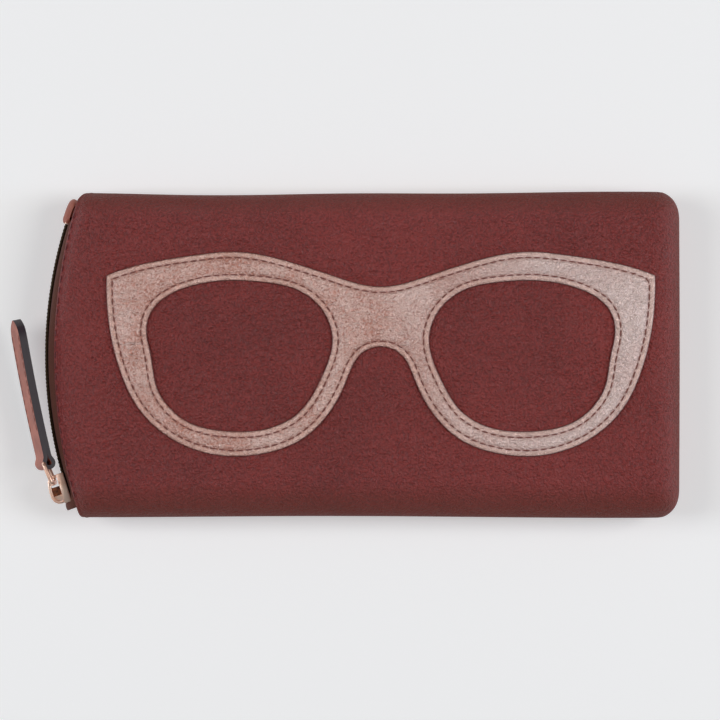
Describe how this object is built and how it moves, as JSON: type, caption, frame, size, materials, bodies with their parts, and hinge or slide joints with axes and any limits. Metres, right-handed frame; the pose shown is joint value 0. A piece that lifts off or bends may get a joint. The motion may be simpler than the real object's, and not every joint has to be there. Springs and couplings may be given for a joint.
{
  "type": "eyeglasses case",
  "caption": "Soft padded leather eyeglasses case with a curved zip across one short end, a leather zip pull and a spectacle-shaped leather applique on the front.",
  "frame": {"origin": "middle of the flat back face, on the surface the case lies on", "axes": "+X along the case, away from the zip; +Y across it; +Z out of the front, through the applique"},
  "size_m": [0.1869, 0.0918, 0.0233],
  "materials": {
    "oxblood_leather": "soft pebbled nappa, low sheen",
    "rose_leather": "rose metallic foil over finely creased leather",
    "foam": "thin soft foam",
    "lining_cloth": "plain woven cotton",
    "zip_tape": "woven polyester tape",
    "zip_coil": "nylon coil",
    "rose_gold": "polished rose-gold plating",
    "burgundy_thread": "bonded thread",
    "rose_thread": "bonded thread"
  },
  "bodies": {
    "root": {"back_panel": "oxblood_leather", "back_padding": "foam", "back_lining": "lining_cloth", "back_zip_tape": "zip_tape", "back_zip_coil": "zip_coil", "back_top_stop": "rose_gold", "zip_bottom_stop": "rose_gold", "back_mouth_stitching": "burgundy_thread", "zip_end_tab": "rose_leather"},
    "front": {"front_panel": "oxblood_leather", "front_padding": "foam", "front_lining": "lining_cloth", "front_zip_tape": "zip_tape", "front_zip_coil": "zip_coil", "front_top_stop": "rose_gold", "front_mouth_stitching": "burgundy_thread", "spectacle_applique": "rose_leather", "applique_outline_stitching": "rose_thread", "left_lens_stitching": "rose_thread", "right_lens_stitching": "rose_thread"},
    "slider": {"zip_slider_body": "rose_gold", "slider_bridge": "rose_gold"},
    "link": {"pull_link": "rose_gold"},
    "strap": {"pull_strap": "rose_leather", "pull_strap_stitching": "rose_thread"}
  },
  "joints": [
    {"name": "mouth_open", "type": "hinge", "parent": "root", "child": "front", "pos_m": [0.08775, 0, 0.011], "axis": [0, 1, 0], "range_deg": [0, 8], "deforming": ["front_zip_tape", "front_zip_coil"]},
    {"name": "zip_slide", "type": "hinge", "parent": "root", "child": "slider", "pos_m": [0.03315, 0, 0.011], "axis": [0, 0, -1], "range_deg": [0, 32.7]},
    {"name": "link_swing", "type": "hinge", "parent": "slider", "child": "link", "pos_m": [-0.08756, -0.03594, 0.011], "axis": [0, 0, 1], "range_deg": [-2, 115]},
    {"name": "pull_swing", "type": "hinge", "parent": "link", "child": "strap", "pos_m": [-0.09, -0.03035, 0.011], "axis": [0, 0, 1], "range_deg": [-4, 60]}
  ],
  "couplings": [
    {"joint": "zip_slide", "follows": "mouth_open", "ratio": 4.0875}
  ]
}
